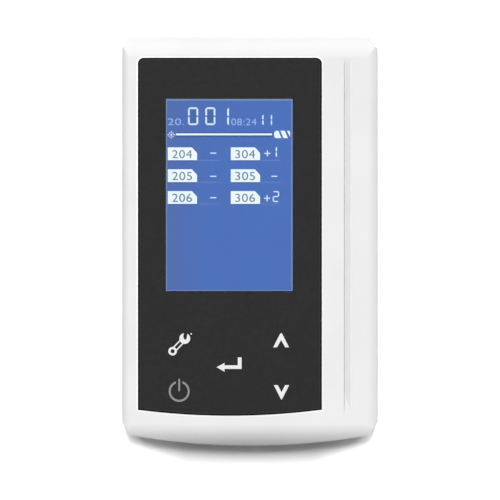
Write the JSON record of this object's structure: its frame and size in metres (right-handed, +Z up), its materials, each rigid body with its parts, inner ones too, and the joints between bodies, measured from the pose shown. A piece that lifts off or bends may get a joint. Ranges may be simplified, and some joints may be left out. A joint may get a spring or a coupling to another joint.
{
  "type": "urine analyzer",
  "caption": "Hand-sized urine strip analyzer lying on its back: white case, black key panel, blue display, side strip tray, battery door.",
  "frame": {"origin": "centre of the outline, on the plane under the four feet", "axes": "+X to the right across the display, +Y along the case towards the display's upper end, +Z up out of the display"},
  "size_m": [0.1, 0.16, 0.038],
  "materials": {
    "white_case": "satin moulded",
    "black_panel": "printed film, gloss",
    "clear_pane": "clear",
    "blue_display": "lit liquid crystal",
    "light_guide": "clear moulded",
    "dark_frame": "moulded",
    "foam": "closed foam",
    "board_green": "solder mask",
    "chip_black": "moulded",
    "key_grey": "moulded",
    "switch_black": "moulded",
    "steel": "zinc plated",
    "nickel": "nickel plated",
    "tray_white": "moulded",
    "gear_white": "moulded acetal",
    "tile_white": "matt reference white",
    "guide_grey": "moulded",
    "lens_clear": "polished",
    "cell_jacket": "plain jacket",
    "rubber_grey": "moulded",
    "ribbon_amber": "flexible film"
  },
  "bodies": {
    "root": {"front_shell": "white_case", "rear_shell": "white_case", "rubber_feet": "rubber_grey", "shell_screws": "steel", "board_screws": "steel", "guide_screws": "steel", "motor_screws": "steel", "bracket_screws": "steel", "front_overlay": "black_panel", "display_window": "clear_pane", "window_gasket": "foam", "display_glass": "blue_display", "display_light": "light_guide", "display_bezel": "dark_frame", "main_board": "board_green", "board_chips": "chip_black", "radio_module": "steel", "buzzer": "chip_black", "ribbon_sockets": "tray_white", "charging_port": "nickel", "tray_guide": "guide_grey", "home_sensor": "chip_black", "gear_shaft": "steel", "drive_motor": "steel", "motor_bracket": "steel", "optics_housing": "guide_grey", "optics_lens": "lens_clear", "optics_board": "board_green", "colour_sensor": "chip_black", "lamps": "lens_clear", "optics_ribbon": "ribbon_amber", "contact_plates": "nickel", "contact_leaves": "nickel", "battery_cell_1": "cell_jacket", "battery_cell_2": "cell_jacket", "battery_cell_3": "cell_jacket", "battery_cell_4": "cell_jacket", "setup_switch": "switch_black", "power_switch": "switch_black", "enter_switch": "switch_black", "up_switch": "switch_black", "down_switch": "switch_black"},
    "tray": {"strip_tray": "tray_white", "tray_front": "white_case", "reference_tile": "tile_white"},
    "gear": {"reduction_gear": "gear_white"},
    "rotor": {"motor_shaft": "steel", "motor_pinion": "gear_white"},
    "door": {"battery_door": "white_case"},
    "setup_button": {"setup_key": "key_grey", "setup_switch_button": "switch_black"},
    "power_button": {"power_key": "key_grey", "power_switch_button": "switch_black"},
    "enter_button": {"enter_key": "key_grey", "enter_switch_button": "switch_black"},
    "up_button": {"up_key": "key_grey", "up_switch_button": "switch_black"},
    "down_button": {"down_key": "key_grey", "down_switch_button": "switch_black"}
  },
  "joints": [
    {"name": "tray_slide", "type": "slide", "parent": "root", "child": "tray", "axis": [0, -1, 0], "range_m": [0, 0.105]},
    {"name": "gear_spin", "type": "hinge", "parent": "root", "child": "gear", "pos_m": [0.02458, -0.056, 0], "axis": [0, 0, 1], "continuous": true},
    {"name": "motor_spin", "type": "hinge", "parent": "root", "child": "rotor", "pos_m": [0.01308, -0.056, 0], "axis": [0, 0, 1], "continuous": true},
    {"name": "door_slide", "type": "slide", "parent": "root", "child": "door", "axis": [0, 1, 0], "range_m": [0, 0.08]},
    {"name": "setup_press", "type": "slide", "parent": "root", "child": "setup_button", "axis": [0, 0, -1], "range_m": [0, 0.00035], "stiffness_N_per_m": 2000},
    {"name": "power_press", "type": "slide", "parent": "root", "child": "power_button", "axis": [0, 0, -1], "range_m": [0, 0.00035], "stiffness_N_per_m": 2000},
    {"name": "enter_press", "type": "slide", "parent": "root", "child": "enter_button", "axis": [0, 0, -1], "range_m": [0, 0.00035], "stiffness_N_per_m": 2000},
    {"name": "up_press", "type": "slide", "parent": "root", "child": "up_button", "axis": [0, 0, -1], "range_m": [0, 0.00035], "stiffness_N_per_m": 2000},
    {"name": "down_press", "type": "slide", "parent": "root", "child": "down_button", "axis": [0, 0, -1], "range_m": [0, 0.00035], "stiffness_N_per_m": 2000}
  ],
  "couplings": [
    {"joint": "gear_spin", "follows": "tray_slide", "rad_per_m": -185.19},
    {"joint": "motor_spin", "follows": "tray_slide", "rad_per_m": 423.28}
  ]
}
